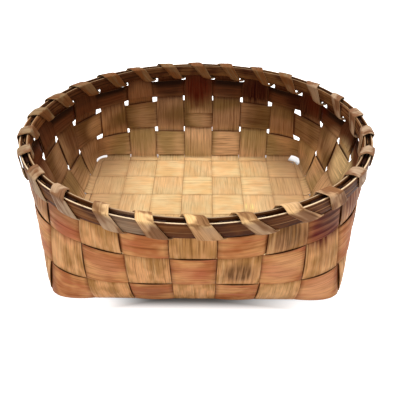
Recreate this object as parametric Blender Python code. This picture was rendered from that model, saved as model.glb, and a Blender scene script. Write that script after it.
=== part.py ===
"""Woven splint basket with a square base, an oval flared rim and no handle.

Thirteen flat splints cross in the base, turn up round the edge and become the
uprights of the wall.  Five closed splints of different widths are woven round
them, the last one hidden in the rim.  Every other upright is folded over that
last splint and tucked down inside, and the rest are cut off level with it.  Two
bent hoops clamp the upright ends, and one flat splint is wound round the hoops,
once in every space between two uprights.

Every strip is laid on one shared skin.  The skin is the flat base, a rounded
fold and a wall that leans out and grows from square to oval.  A strip lies
half a step outside or half a step inside that skin where it crosses another
strip, and changes sides only in the open spaces between strips.

Frame: the origin is on the ground under the middle of the base, +X runs along
the longer side, +Y from front to back and +Z up.  Lengths are in metres.
"""

import bmesh
import bpy
import math
import numpy as np
from mathutils import Vector

# Base
STAKE_PITCH = 0.038
CROSS_STAKES = 7
LONG_STAKES = 6
BASE_STAKE_GAP = 0.0014
RIM_STAKE_GAP = 0.0064
SPLINT_THICKNESS = 0.0010
SEAT_GAP = 0.0003

# Fold at the edge of the base and lean of the wall
FOLD_FLAT = 0.0034
FOLD_RADIUS = 0.0072
FOOT_LEAN_DEG = 21.7
RIM_LEAN_DEG = 1.7
BASE_ROUNDNESS_SHARE = 0.01
FOOT_ROUNDNESS_SHARE = 0.07
RIM_ROUNDNESS_SHARE = 0.495
ROUNDING_POWER = 1.6

# Weavers, stacked along the skin from the edge of the base to the rim
FOOT_INSET = 0.0008
FOOT_WEAVER_WIDTH = 0.0068
FOOT_ROW_GAP = 0.0048
LOWER_WEAVER_WIDTH = 0.0332
MIDDLE_WEAVER_WIDTH = 0.0359
UPPER_WEAVER_WIDTH = 0.0213
ROW_GAP = 0.0066
RIM_SLIT = 0.0049

# Rim and the folded ends tucked down inside
HOOP_HEIGHT = 0.0142
HOOP_THICKNESS = 0.0023
FILLER_DROP = 0.0026
TAIL_BELOW_HOOP = 0.0225
LONG_TAIL_BELOW_HOOP = 0.0490

# Lashing round the rim
LASH_THICKNESS = 0.0008
LASH_WIDTH = 0.0150
LASH_GAP = 0.0006
LASH_SLIT_CLEARANCE = 0.0007

# Shape of one turn of the lashing, in shares of the space between two uprights
LASH_UNDER_OUT_SHARE = 0.44
LASH_OUT_LOW_SHARE = 0.32
LASH_OUT_HIGH_SHARE = 0.12
LASH_TOP_OUT_SHARE = 0.07
LASH_TOP_IN_SHARE = 0.00
LASH_IN_HIGH_SHARE = -0.05
LASH_IN_LOW_SHARE = -0.28
LASH_UNDER_IN_SHARE = -0.42

MID_SPACE = 0.5
STAKES = 2 * (CROSS_STAKES + LONG_STAKES)
QUARTER = STAKES / 4
CORNER_STAKE = (CROSS_STAKES - 1) / 2
CORNER_MID = CORNER_STAKE + MID_SPACE
CORNER_BAND_SHARE = 0.012
HALF_STEP = (SPLINT_THICKNESS + SEAT_GAP) / 2
HALF_SPLINT = SPLINT_THICKNESS / 2
SKIN_HEIGHT = HALF_STEP + HALF_SPLINT
HALF_LENGTH = STAKE_PITCH * CROSS_STAKES / 2
HALF_DEPTH = STAKE_PITCH * LONG_STAKES / 2

# Places along the skin, measured from the edge of the base weave
FOOT_LOW = FOOT_INSET
FOOT_HIGH = FOOT_LOW + FOOT_WEAVER_WIDTH
LOWER_LOW = FOOT_HIGH + FOOT_ROW_GAP
LOWER_HIGH = LOWER_LOW + LOWER_WEAVER_WIDTH
MIDDLE_LOW = LOWER_HIGH + ROW_GAP
MIDDLE_HIGH = MIDDLE_LOW + MIDDLE_WEAVER_WIDTH
UPPER_LOW = MIDDLE_HIGH + ROW_GAP
UPPER_HIGH = UPPER_LOW + UPPER_WEAVER_WIDTH
HOOP_LOW = UPPER_HIGH + RIM_SLIT
HOOP_HIGH = HOOP_LOW + HOOP_HEIGHT
FILLER_HIGH = HOOP_HIGH - FILLER_DROP
TAIL_END = HOOP_LOW - TAIL_BELOW_HOOP
LONG_TAIL_END = HOOP_LOW - LONG_TAIL_BELOW_HOOP

FOLD_TURN = math.radians(90 - FOOT_LEAN_DEG)
WALL_TURN = math.radians(FOOT_LEAN_DEG - RIM_LEAN_DEG)
FOLD_END = FOLD_FLAT + FOLD_RADIUS * FOLD_TURN
WALL_LENGTH = HOOP_HIGH - FOLD_END
WALL_RADIUS = WALL_LENGTH / WALL_TURN

FOOT_ROW = (FOOT_LOW, (FOOT_LOW + FOOT_HIGH) / 2, FOOT_HIGH)
LOWER_ROW = (LOWER_LOW, LOWER_HIGH)
MIDDLE_ROW = (MIDDLE_LOW, MIDDLE_HIGH)
UPPER_ROW = (UPPER_LOW, UPPER_HIGH)
RIM_ROW = (HOOP_LOW, FILLER_HIGH)
ROWS = (FOOT_ROW, LOWER_ROW, MIDDLE_ROW, UPPER_ROW, RIM_ROW)
FOLD_MIDDLE = (FOOT_HIGH + LOWER_LOW) / 2

# Layers of the rim, measured out from the skin
TAIL_OFFSET = -3 * HALF_STEP
INNER_HOOP_OUT = TAIL_OFFSET - HALF_SPLINT - SEAT_GAP
INNER_HOOP_IN = INNER_HOOP_OUT - HOOP_THICKNESS
OUTER_HOOP_IN = HALF_STEP + HALF_SPLINT + SEAT_GAP
OUTER_HOOP_OUT = OUTER_HOOP_IN + HOOP_THICKNESS

EDGES_AND_MIDDLE = (-1, 0, 1)
FOLD_STEPS = 4
BACK_MIDDLE = STAKES // 2
ARC_SAMPLES = 900
PROBE_SHARE = 0.0005
OUTSIDE = 1.0
INSIDE = -1.0


# Shared skin
def profile(run):
    """Distance out from the edge of the base and height, at a run along the skin."""
    if run <= FOLD_FLAT:
        return run, 0.0
    turn = min(run - FOLD_FLAT, FOLD_RADIUS * FOLD_TURN) / FOLD_RADIUS
    out = FOLD_FLAT + FOLD_RADIUS * math.sin(turn)
    rise = FOLD_RADIUS * (1 - math.cos(turn))
    if run > FOLD_END:
        bend = (run - FOLD_END) / WALL_RADIUS
        out += WALL_RADIUS * (math.sin(FOLD_TURN + bend) - math.sin(FOLD_TURN))
        rise += WALL_RADIUS * (math.cos(FOLD_TURN) - math.cos(FOLD_TURN + bend))
    return out, rise


def roundness(run):
    """One over the power of the outline: near zero is square, one half is an ellipse."""
    if run <= FOLD_END:
        rise = FOOT_ROUNDNESS_SHARE - BASE_ROUNDNESS_SHARE
        return BASE_ROUNDNESS_SHARE + rise * run / FOLD_END
    share = 1 - (1 - min((run - FOLD_END) / WALL_LENGTH, 1.0)) ** ROUNDING_POWER
    return FOOT_ROUNDNESS_SHARE + (RIM_ROUNDNESS_SHARE - FOOT_ROUNDNESS_SHARE) * share


OUTLINES = {}


def outline(run):
    """A quarter of the outline at this run, from mid front to mid right side."""
    key = round(run / STAKE_PITCH, 9)
    if key in OUTLINES:
        return OUTLINES[key]
    out, rise = profile(run)
    power = 1 / roundness(run)
    angle = np.linspace(0, math.pi / 2, ARC_SAMPLES)
    long_part = np.sin(angle) / (HALF_LENGTH + out)
    deep_part = np.cos(angle) / (HALF_DEPTH + out)
    largest = np.maximum(long_part, deep_part)
    total = (long_part / largest) ** power + (deep_part / largest) ** power
    reach = 1 / (largest * total ** (1 / power))
    x = reach * np.sin(angle)
    y = -reach * np.cos(angle)
    length = np.concatenate(([0.0], np.cumsum(np.hypot(np.diff(x), np.diff(y)))))
    OUTLINES[key] = (x, y, length, rise + SKIN_HEIGHT)
    return OUTLINES[key]


def pitch_at(run):
    """Spacing of the uprights along the outline, away from the corners."""
    quarter_length = outline(run)[2][-1]
    share = min(max(run, 0.0) / HOOP_HIGH, 1.0)
    return STAKE_PITCH + (quarter_length / QUARTER - STAKE_PITCH) * share


def quarter_point(place, run):
    """Point of the first quarter; place counts uprights from the middle of the front."""
    x, y, length, z = outline(run)
    pitch = pitch_at(run)
    spare = length[-1] - QUARTER * pitch
    ramp = (place - CORNER_MID + CORNER_BAND_SHARE) / (2 * CORNER_BAND_SHARE)
    along = place * pitch + spare * min(max(ramp, 0.0), 1.0)
    return float(np.interp(along, length, x)), float(np.interp(along, length, y)), z


def skin_point(place, run):
    """Point of the shared skin at any place round the basket."""
    turn = place % STAKES
    half = STAKES / 2
    if turn <= QUARTER:
        x, y, z = quarter_point(turn, run)
        return Vector((x, y, z))
    if turn <= half:
        x, y, z = quarter_point(half - turn, run)
        return Vector((x, -y, z))
    if turn <= half + QUARTER:
        x, y, z = quarter_point(turn - half, run)
        return Vector((-x, -y, z))
    x, y, z = quarter_point(STAKES - turn, run)
    return Vector((-x, y, z))


def skin_normal(place, run):
    """Unit normal of the skin, pointing away from the inside of the basket."""
    if run <= FOLD_FLAT:
        return Vector((0, 0, -1))
    side = skin_point(place + PROBE_SHARE, run) - skin_point(place - PROBE_SHARE, run)
    step = PROBE_SHARE * STAKE_PITCH
    rise = skin_point(place, run + step) - skin_point(place, run - step)
    return side.cross(rise).normalized()


def skin_up(place, run):
    """Unit direction up the skin, at right angles to the normal."""
    step = PROBE_SHARE * STAKE_PITCH
    return (skin_point(place, run + step) - skin_point(place, run - step)).normalized()


def half_share(run):
    """Half the width of an upright, in shares of the spacing of the uprights."""
    share = min(max(run, 0.0) / HOOP_HIGH, 1.0)
    gap = BASE_STAKE_GAP + (RIM_STAKE_GAP - BASE_STAKE_GAP) * share
    return (1 - gap / pitch_at(run)) / 2


# Solids swept from rings
def pick_diagonal(corners):
    """Start a four-sided face at its corner with the lowest key."""
    sums = [key[0] + key[1] for _, key in corners]
    start = sums.index(min(sums))
    return [corners[(start + step) % 4][0] for step in range(4)]


def sweep(name, rings, keys, closed, material):
    """Join rings of points into one closed solid."""
    mesh = bmesh.new()
    made = [[mesh.verts.new(point) for point in ring] for ring in rings]
    size = len(rings[0])
    last = len(rings) if closed else len(rings) - 1
    for index in range(last):
        after = (index + 1) % len(rings)
        for side in range(size):
            beside = (side + 1) % size
            corners = [
                (made[index][side], keys[index][side]),
                (made[index][beside], keys[index][beside]),
                (made[after][beside], next_key(keys, index, after, beside)),
                (made[after][side], next_key(keys, index, after, side)),
            ]
            a, b, c, d = pick_diagonal(corners)
            mesh.faces.new((a, b, c))
            mesh.faces.new((a, c, d))
    if not closed:
        cap(mesh, made[0])
        cap(mesh, made[-1][::-1])
    if mesh.calc_volume(signed=True) < 0:
        bmesh.ops.reverse_faces(mesh, faces=mesh.faces)
    mesh.normal_update()
    data = bpy.data.meshes.new(name)
    mesh.to_mesh(data)
    mesh.free()
    data.materials.append(material)
    result = bpy.data.objects.new(name, data)
    bpy.context.scene.collection.objects.link(result)
    return result


def next_key(keys, index, after, side):
    """Key of the next ring; a closed strip goes on counting past its start."""
    place, run = keys[after][side]
    if after < index:
        place += STAKES
    return place, run


def cap(mesh, ring):
    """Close the end of a strip, whose ring holds two equal rows of points."""
    half = len(ring) // 2
    for step in range(half - 1):
        a, b = ring[step], ring[step + 1]
        c, d = ring[-2 - step], ring[-1 - step]
        mesh.faces.new((b, a, d))
        mesh.faces.new((b, d, c))


def layered_ring(points, normals, low, high):
    """Ring of a strip between two distances from the skin."""
    outer = [point + normal * high for point, normal in zip(points, normals)]
    inner = [point + normal * low for point, normal in zip(points, normals)]
    return outer + inner[::-1]


# Over and under
def stake_side(place, row):
    """Whether an upright passes outside or inside a weaver."""
    return OUTSIDE if (place + row) % 2 == 1 else INSIDE


def base_side(cross_index, long_index):
    """Whether a cross stake lies under or on top of a long stake in the base."""
    return INSIDE if (cross_index + long_index + LONG_STAKES) % 2 == 0 else OUTSIDE


# Stakes
def wall_stations(place):
    """Runs and offsets of one upright from the edge of the base to the rim."""
    stations = []
    for row, edges in enumerate(ROWS):
        offset = stake_side(place, row) * HALF_STEP
        stations += [(run, offset) for run in edges]
        if row == 0:
            next_offset = stake_side(place, row + 1) * HALF_STEP
            stations.append((FOLD_MIDDLE, (offset + next_offset) / 2))
    return stations


def wall_ring(place, flip, run, offset, turn=0.0):
    """Ring of an upright.

    Flip puts its three points in the order of the base, and turn tips its outer
    face from outward, over the top, to inward.
    """
    half = half_share(run)
    outer = []
    inner = []
    keys = []
    for share in EDGES_AND_MIDDLE:
        spot = place + flip * share * half
        normal = skin_normal(spot, run)
        centre = skin_point(spot, run) + normal * offset
        thick = (normal * math.cos(turn) + skin_up(spot, run) * math.sin(turn)) * HALF_SPLINT
        outer.append(centre + thick)
        inner.append(centre - thick)
        keys.append((spot, run / STAKE_PITCH))
    return outer + inner[::-1], keys + keys[::-1]


def mixed_ring(first, second, share):
    """Ring part of the way from one ring to another."""
    points = [a.lerp(b, share) for a, b in zip(first[0], second[0])]
    return points, first[1]


def tail_rings(place, flip):
    """Rings of an upright end folded over the top weaver and tucked down inside."""
    rings = []
    for step in range(1, FOLD_STEPS + 1):
        turn = math.pi * step / FOLD_STEPS
        run = FILLER_HIGH + 2 * HALF_STEP * math.sin(turn)
        offset = 2 * HALF_STEP * math.cos(turn) - HALF_STEP
        rings.append(wall_ring(place, flip, run, offset, turn))
    if place == BACK_MIDDLE:
        runs = (HOOP_LOW, UPPER_HIGH, UPPER_LOW, MIDDLE_HIGH)
        after, end = MIDDLE_LOW, LONG_TAIL_END
    else:
        runs = (HOOP_LOW, UPPER_HIGH)
        after, end = UPPER_LOW, TAIL_END
    rings += [wall_ring(place, flip, run, TAIL_OFFSET, math.pi) for run in runs]
    share = (runs[-1] - end) / (runs[-1] - after)
    rings.append(mixed_ring(rings[-1], wall_ring(place, flip, after, TAIL_OFFSET, math.pi), share))
    return rings


def upright_rings(place, flip):
    """Rings of a stake from the edge of the base to its end."""
    rings = [wall_ring(place, flip, run, offset) for run, offset in wall_stations(place)]
    if stake_side(place, len(ROWS) - 1) == OUTSIDE:
        rings += tail_rings(place, flip)
    return rings


def base_ring(across, along, offset, turned):
    """Ring of a stake in the base; a turned stake runs along the length."""
    half = half_share(0.0) * STAKE_PITCH
    points = []
    for share in EDGES_AND_MIDDLE:
        side = across + share * half
        x, y = (along, side) if turned else (side, along)
        points.append(Vector((x, y, SKIN_HEIGHT)))
    normals = [Vector((0, 0, -1))] * 3
    ring = layered_ring(points, normals, offset - HALF_SPLINT, offset + HALF_SPLINT)
    keys = [(point.x / STAKE_PITCH, point.y / STAKE_PITCH) for point in points]
    return ring, keys + keys[::-1]


def base_rings(across, crossings, sides, turned):
    """Rings of the part of a stake that lies in the base."""
    half = half_share(0.0) * STAKE_PITCH
    result = []
    for centre, side in zip(crossings, sides):
        for edge in (centre - half, centre + half):
            result.append(base_ring(across, edge, side * HALF_STEP, turned))
    return result


def stake(name, first_place, last_place, first_flip, across, crossings, sides, turned, material):
    """One splint from rim to rim through the base."""
    first = upright_rings(first_place, first_flip)
    last = upright_rings(last_place, -first_flip)
    parts = first[::-1] + base_rings(across, crossings, sides, turned) + last
    rings = [ring for ring, _ in parts]
    keys = [key for _, key in parts]
    return sweep(name, rings, keys, False, material)


def cross_stake(number, material):
    """Stake that runs from front to back; number counts from the left."""
    index = number - (CROSS_STAKES - 1) // 2
    crossings = [(row - (LONG_STAKES - 1) / 2) * STAKE_PITCH for row in range(LONG_STAKES)]
    sides = [base_side(index, row + 1) for row in range(LONG_STAKES)]
    front = index % STAKES
    back = STAKES // 2 - index
    name = "cross_stake_%d" % (number + 1)
    return stake(name, front, back, 1, index * STAKE_PITCH, crossings, sides, False, material)


def long_stake(number, material):
    """Stake that runs from left to right; number counts from the front."""
    across = (number - (LONG_STAKES - 1) / 2) * STAKE_PITCH
    half = (CROSS_STAKES - 1) // 2
    crossings = [(column - half) * STAKE_PITCH for column in range(CROSS_STAKES)]
    sides = [-base_side(column - half, number + 1) for column in range(CROSS_STAKES)]
    right = half + 1 + number
    left = STAKES - right
    name = "long_stake_%d" % (number + 1)
    return stake(name, left, right, -1, across, crossings, sides, True, material)


# Weavers and hoops
def loop_stations(runs, width_shares):
    """Stations round the basket: the upright, and places at its width shares at each run."""
    stations = []
    for place in range(STAKES):
        for share in width_shares:
            stations.append((place, [place + share * half_share(run) for run in runs]))
        if is_corner(place):
            stations.append((None, [place + MID_SPACE] * len(runs)))
    return stations


def is_corner(place):
    """True for the last upright before a corner."""
    half = STAKES // 2
    first = int(CORNER_STAKE)
    return place % half in (first, half - first - 1)


def closed_strip(name, runs, width_shares, low_at, thickness, material):
    """Closed strip round the basket; low_at gives its inner face at an upright."""
    rings = []
    keys = []
    for place, places in loop_stations(runs, width_shares):
        points = [skin_point(spot, run) for spot, run in zip(places, runs)]
        normals = [skin_normal(spot, run) for spot, run in zip(places, runs)]
        low = low_at(place)
        rings.append(layered_ring(points, normals, low, low + thickness))
        key = [(spot, run / STAKE_PITCH) for spot, run in zip(places, runs)]
        keys.append(key + key[::-1])
    return sweep(name, rings, keys, True, material)


def weaver(name, row, material):
    """Closed splint woven over and under every upright, half way between at a corner."""
    def low_at(place):
        side = 0.0 if place is None else -stake_side(place, row)
        return side * HALF_STEP - HALF_SPLINT
    return closed_strip(name, ROWS[row], EDGES_AND_MIDDLE, low_at, SPLINT_THICKNESS, material)


def foot_weaver(material):
    """Narrow splint in the fold at the edge of the base."""
    return weaver("foot_weaver", 0, material)


def lower_weaver(material):
    """Wide splint just above the base."""
    return weaver("lower_weaver", 1, material)


def middle_weaver(material):
    """Widest splint, half way up the wall."""
    return weaver("middle_weaver", 2, material)


def upper_weaver(material):
    """Splint under the rim."""
    return weaver("upper_weaver", 3, material)


def hoop(name, runs, low, thickness, material):
    """Closed strip that follows the rim at one distance from the skin."""
    return closed_strip(name, runs, EDGES_AND_MIDDLE, lambda place: low, thickness, material)


def rim_hoop_inner(material):
    """Hoop inside the upright ends."""
    return hoop("rim_hoop_inner", (HOOP_LOW, HOOP_HIGH), INNER_HOOP_IN, HOOP_THICKNESS, material)


def rim_filler(material):
    """Narrow splint woven round the upright ends between the hoops."""
    return weaver("rim_filler", 4, material)


def rim_hoop_outer(material):
    """Hoop outside the upright ends."""
    return hoop("rim_hoop_outer", (HOOP_LOW, HOOP_HIGH), OUTER_HOOP_IN, HOOP_THICKNESS, material)


# Lashing
def lash_stations():
    """One turn round the rim: place share, run, distance out, half width, facing.

    Facing is the direction in which the thickness is laid: out from the skin
    and up along it.
    """
    reach = LASH_GAP + LASH_THICKNESS / 2
    outer = OUTER_HOOP_OUT + reach
    inner = INNER_HOOP_IN - reach
    top = HOOP_HIGH + reach
    under = HOOP_LOW - reach
    wide = LASH_WIDTH / 2
    narrow = RIM_STAKE_GAP / 2 - LASH_SLIT_CLEARANCE
    middle = (wide + narrow) / 2
    return (
        (MID_SPACE, under, INNER_HOOP_OUT, narrow, (0, -1)),
        (MID_SPACE, under, OUTER_HOOP_IN, narrow, (0, -1)),
        (LASH_UNDER_OUT_SHARE, under, OUTER_HOOP_OUT, middle, (0, -1)),
        (LASH_OUT_LOW_SHARE, HOOP_LOW, outer, wide, (1, 0)),
        (LASH_OUT_HIGH_SHARE, HOOP_HIGH, outer, wide, (1, 0)),
        (LASH_TOP_OUT_SHARE, top, OUTER_HOOP_OUT, wide, (0, 1)),
        (LASH_TOP_IN_SHARE, top, INNER_HOOP_IN, wide, (0, 1)),
        (LASH_IN_HIGH_SHARE, HOOP_HIGH, inner, wide, (-1, 0)),
        (LASH_IN_LOW_SHARE, HOOP_LOW, inner, wide, (-1, 0)),
        (LASH_UNDER_IN_SHARE, under, INNER_HOOP_IN, middle, (0, -1)),
    )


def lash_ring(turn, station):
    """Ring of the lashing at one station of one turn."""
    share, run, out, half_width, facing = station
    place = share - turn
    pitch = pitch_at(HOOP_HIGH)
    outer = []
    inner = []
    for side in EDGES_AND_MIDDLE:
        spot = place + side * half_width / pitch
        low = skin_point(spot, HOOP_LOW) + skin_normal(spot, HOOP_LOW) * out
        high = skin_point(spot, HOOP_HIGH) + skin_normal(spot, HOOP_HIGH) * out
        centre = low.lerp(high, (run - HOOP_LOW) / HOOP_HEIGHT)
        up = (high - low).normalized()
        normal = skin_normal(spot, min(max(run, HOOP_LOW), HOOP_HIGH))
        thick = (normal * facing[0] + up * facing[1]) * (LASH_THICKNESS / 2)
        outer.append(centre + thick)
        inner.append(centre - thick)
    return outer + inner[::-1]


def rim_lashing(material):
    """Flat splint wound round the rim, through the space after every upright."""
    rings = []
    keys = []
    stations = lash_stations()
    for turn in range(STAKES):
        for number, station in enumerate(stations):
            ring = lash_ring(turn, station)
            rings.append(ring)
            step = turn + number / len(stations)
            keys.append([(step, side) for side in (0, 1, 2, 2, 1, 0)])
    return sweep("rim_lashing", rings, keys, True, material)


# Materials
def splint_material(name, colour, roughness_share):
    """Plain wood material."""
    material = bpy.data.materials.new(name)
    material.use_nodes = True
    shader = material.node_tree.nodes["Principled BSDF"]
    shader.inputs["Base Color"].default_value = (*colour, 1.0)
    shader.inputs["Roughness"].default_value = roughness_share
    return material


def stake_material():
    """Golden tan splint of the stakes."""
    return splint_material("stake_splint", (0.52, 0.31, 0.13), 0.62)


def weaver_material():
    """Reddish brown splint of the weavers."""
    return splint_material("weaver_splint", (0.45, 0.19, 0.08), 0.60)


def hoop_material():
    """Dark purple-brown wood of the hoops."""
    return splint_material("hoop_wood", (0.17, 0.08, 0.06), 0.55)


def filler_material():
    """Pale splint of the weaver in the rim."""
    return splint_material("filler_wood", (0.40, 0.27, 0.14), 0.65)


def lashing_material():
    """Grey-tan splint of the lashing."""
    return splint_material("lashing_splint", (0.36, 0.24, 0.15), 0.60)


def clear_scene():
    """Remove every object of the startup file."""
    for item in list(bpy.data.objects):
        bpy.data.objects.remove(item)


def build():
    """Make all sub-parts."""
    clear_scene()
    stake_wood = stake_material()
    weaver_wood = weaver_material()
    hoop_wood = hoop_material()
    for number in range(CROSS_STAKES):
        cross_stake(number, stake_wood)
    for number in range(LONG_STAKES):
        long_stake(number, stake_wood)
    foot_weaver(weaver_wood)
    lower_weaver(weaver_wood)
    middle_weaver(weaver_wood)
    upper_weaver(weaver_wood)
    rim_hoop_inner(hoop_wood)
    rim_filler(filler_material())
    rim_hoop_outer(hoop_wood)
    rim_lashing(lashing_material())


build()
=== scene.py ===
"""Looks of the woven splint basket, laid over its CAD frame.

Each splint of the frame is remade as a fine ribbon on the same skin, bowed where it
passes over or under another, with wavy cut edges.  Each vertex carries marks that
the wood materials read: where it lies in the grain, which face it is on, how near
the edge, how near a splint that covers it, and how high up the basket.

Frame: the origin is on the ground under the middle of the base, +X runs along
the longer side, +Y from front to back and +Z up.  Lengths are in metres.
"""

import math

import bmesh
import bpy
import numpy as np
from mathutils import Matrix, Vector, noise


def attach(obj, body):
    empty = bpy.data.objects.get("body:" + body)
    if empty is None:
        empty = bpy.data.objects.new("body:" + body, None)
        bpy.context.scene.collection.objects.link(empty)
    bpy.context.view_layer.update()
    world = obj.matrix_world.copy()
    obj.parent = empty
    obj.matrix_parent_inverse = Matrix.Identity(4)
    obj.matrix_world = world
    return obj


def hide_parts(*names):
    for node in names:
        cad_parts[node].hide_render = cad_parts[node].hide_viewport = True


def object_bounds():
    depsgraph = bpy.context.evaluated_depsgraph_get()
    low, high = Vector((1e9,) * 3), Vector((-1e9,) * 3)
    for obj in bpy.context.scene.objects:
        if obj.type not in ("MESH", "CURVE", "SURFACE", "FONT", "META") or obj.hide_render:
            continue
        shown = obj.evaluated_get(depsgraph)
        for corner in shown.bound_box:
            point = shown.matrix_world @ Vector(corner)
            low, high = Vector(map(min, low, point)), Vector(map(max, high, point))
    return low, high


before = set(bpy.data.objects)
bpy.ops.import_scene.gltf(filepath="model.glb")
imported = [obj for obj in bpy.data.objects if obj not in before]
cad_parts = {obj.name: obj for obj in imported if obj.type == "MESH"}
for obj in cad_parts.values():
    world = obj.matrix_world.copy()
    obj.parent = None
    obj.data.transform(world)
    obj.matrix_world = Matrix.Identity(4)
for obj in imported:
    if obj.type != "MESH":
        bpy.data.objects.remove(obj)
cad_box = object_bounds()

# Splints and skin, the same as in the CAD
STAKE_PITCH = 0.038
CROSS_STAKES = 7
LONG_STAKES = 6
BASE_STAKE_GAP = 0.0014
RIM_STAKE_GAP = 0.0064
SPLINT_THICKNESS = 0.0010
SEAT_GAP = 0.0003
FOLD_FLAT = 0.0034
FOLD_RADIUS = 0.0072
FOOT_LEAN_DEG = 21.7
RIM_LEAN_DEG = 1.7
BASE_ROUNDNESS_SHARE = 0.01
FOOT_ROUNDNESS_SHARE = 0.07
RIM_ROUNDNESS_SHARE = 0.495
ROUNDING_POWER = 1.6
FOOT_INSET = 0.0008
FOOT_WEAVER_WIDTH = 0.0068
FOOT_ROW_GAP = 0.0048
LOWER_WEAVER_WIDTH = 0.0332
MIDDLE_WEAVER_WIDTH = 0.0359
UPPER_WEAVER_WIDTH = 0.0213
ROW_GAP = 0.0066
RIM_SLIT = 0.0049
HOOP_HEIGHT = 0.0142
HOOP_THICKNESS = 0.0023
FILLER_DROP = 0.0026
TAIL_BELOW_HOOP = 0.0225
LONG_TAIL_BELOW_HOOP = 0.0490
LASH_THICKNESS = 0.0008
LASH_GAP = 0.0006
LASH_SLIT_CLEARANCE = 0.0007

# Looks of the splints
WALL_BOW = 0.0010
BASE_BOW = 0.0004
FOOT_BOW = 0.0
TAIL_LIFT = 0.0012
EDGE_THIN_SHARE = 0.75
EDGE_LIP_SHARE = 0.5
STAKE_WOBBLE_SHARE = 0.20
WEAVER_WOBBLE = 0.0007
HOOP_WOBBLE = 0.0003
WOBBLE_LENGTH = 0.024
# How far the painted shade and grime reach from a splint that covers another
SEAM_SHADE_REACH = 0.0011
# How much painted shade the folded ends take between the hoops
RIM_SHADE_SHARE = 1.0
EDGE_MARK = 1.2
BASE_OPEN_SHARE = 0.35
FRONT_OPEN_SHARE = 0.22
FRONT_UPRIGHTS = 3.0
INNER_HOOP_LIFT = 0.0029
RIM_NOTCH = 0.0019
LASH_TOP_WIDTH = 0.0148
LASH_LOW_WIDTH = 0.0176
LASH_INSIDE_WIDTH = 0.0108
LASH_PUFF = 0.0006
LASH_CUP = 0.0005
LASH_ARCH = 0.0030
LASH_LIFT = 0.0034
LASH_BACK_TIGHT_SHARE = 0.55
LASH_WIDTH_SPREAD = 0.12
LASH_SIDE_SPREAD = 0.20
LASH_PLACE_SPREAD = 0.035
SHARP_DEG = 48

# Seeds of the grain and the unevenness of each splint, and the draws for a turn of the lashing
STAKE_SEED = 10.0
STAKE_SEED_STEP = 3.0
WEAVER_SEED = 100.0
WEAVER_SEED_STEP = 7.0
INNER_HOOP_SEED = 150.0
OUTER_HOOP_SEED = 160.0
LASH_SEED = 200.0
WIDTH_DRAW, ARCH_DRAW, PLACE_DRAW, LIFT_DRAW = 1, 2, 3, 4

# Counts, half sizes and steps that follow from the sizes, and the height of the rim
MID_SPACE = 0.5
STAKES = 2 * (CROSS_STAKES + LONG_STAKES)
QUARTER = STAKES / 4
BACK_MIDDLE = STAKES // 2
CORNER_STAKE = (CROSS_STAKES - 1) // 2
CORNER_MID = CORNER_STAKE + MID_SPACE
CORNER_BAND_SHARE = 0.012
HALF_STEP = (SPLINT_THICKNESS + SEAT_GAP) / 2
HALF_SPLINT = SPLINT_THICKNESS / 2
SKIN_HEIGHT = HALF_STEP + HALF_SPLINT
HALF_LENGTH = STAKE_PITCH * CROSS_STAKES / 2
HALF_DEPTH = STAKE_PITCH * LONG_STAKES / 2
BASE_HALF_WIDTH = (STAKE_PITCH - BASE_OPEN_SHARE * BASE_STAKE_GAP) / 2
RIM_TOP = cad_box[1][2]

# Places along the skin, measured from the edge of the base weave
FOOT_LOW = FOOT_INSET
FOOT_HIGH = FOOT_LOW + FOOT_WEAVER_WIDTH
LOWER_LOW = FOOT_HIGH + FOOT_ROW_GAP
LOWER_HIGH = LOWER_LOW + LOWER_WEAVER_WIDTH
MIDDLE_LOW = LOWER_HIGH + ROW_GAP
MIDDLE_HIGH = MIDDLE_LOW + MIDDLE_WEAVER_WIDTH
UPPER_LOW = MIDDLE_HIGH + ROW_GAP
UPPER_HIGH = UPPER_LOW + UPPER_WEAVER_WIDTH
HOOP_LOW = UPPER_HIGH + RIM_SLIT
HOOP_HIGH = HOOP_LOW + HOOP_HEIGHT
FILLER_HIGH = HOOP_HIGH - FILLER_DROP
SLIT_MIDDLE = HOOP_LOW - RIM_SLIT / 2
TAIL_END = HOOP_LOW - TAIL_BELOW_HOOP
LONG_TAIL_END = HOOP_LOW - LONG_TAIL_BELOW_HOOP
ROWS = (
    (FOOT_LOW, FOOT_HIGH),
    (LOWER_LOW, LOWER_HIGH),
    (MIDDLE_LOW, MIDDLE_HIGH),
    (UPPER_LOW, UPPER_HIGH),
    (HOOP_LOW, FILLER_HIGH),
)
ROW_BOWS = (FOOT_BOW, WALL_BOW, WALL_BOW, WALL_BOW, 0.0)

FOLD_TURN = math.radians(90 - FOOT_LEAN_DEG)
WALL_TURN = math.radians(FOOT_LEAN_DEG - RIM_LEAN_DEG)
FOLD_END = FOLD_FLAT + FOLD_RADIUS * FOLD_TURN
WALL_LENGTH = HOOP_HIGH - FOLD_END
WALL_RADIUS = WALL_LENGTH / WALL_TURN

# Layers of the rim, measured out from the skin
TAIL_OFFSET = -3 * HALF_STEP
INNER_HOOP_OUT = TAIL_OFFSET - HALF_SPLINT - SEAT_GAP
INNER_HOOP_IN = INNER_HOOP_OUT - HOOP_THICKNESS
OUTER_HOOP_IN = HALF_STEP + HALF_SPLINT + SEAT_GAP
OUTER_HOOP_OUT = OUTER_HOOP_IN + HOOP_THICKNESS

# Gaps that are wider or narrower than their place in the weave gives, by the upright before
GAP_WIDTHS = {1: 0.75, 9: 1.5, 10: 1.05, 11: 0.65, 12: 0.3, 13: 0.55, 14: 1.3, 15: 0.9, 16: 1.2, 24: 0.6}

# Openings where the splints bend up round a corner, by the upright before the corner: how deep
# each is, at which run its middle lies and how far it reaches up and down
CORNER_NOTCHES = {
    3: (0.0010, 0.010, 0.006),
    9: (0.0062, 0.003, 0.009),
    16: (0.0044, 0.010, 0.005),
    22: (0.0010, 0.010, 0.006),
}
OPEN_CORNER = 9.5
OPEN_CORNER_WIDTH = 0.45
OPEN_CORNER_EDGE = 0.0040

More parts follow.
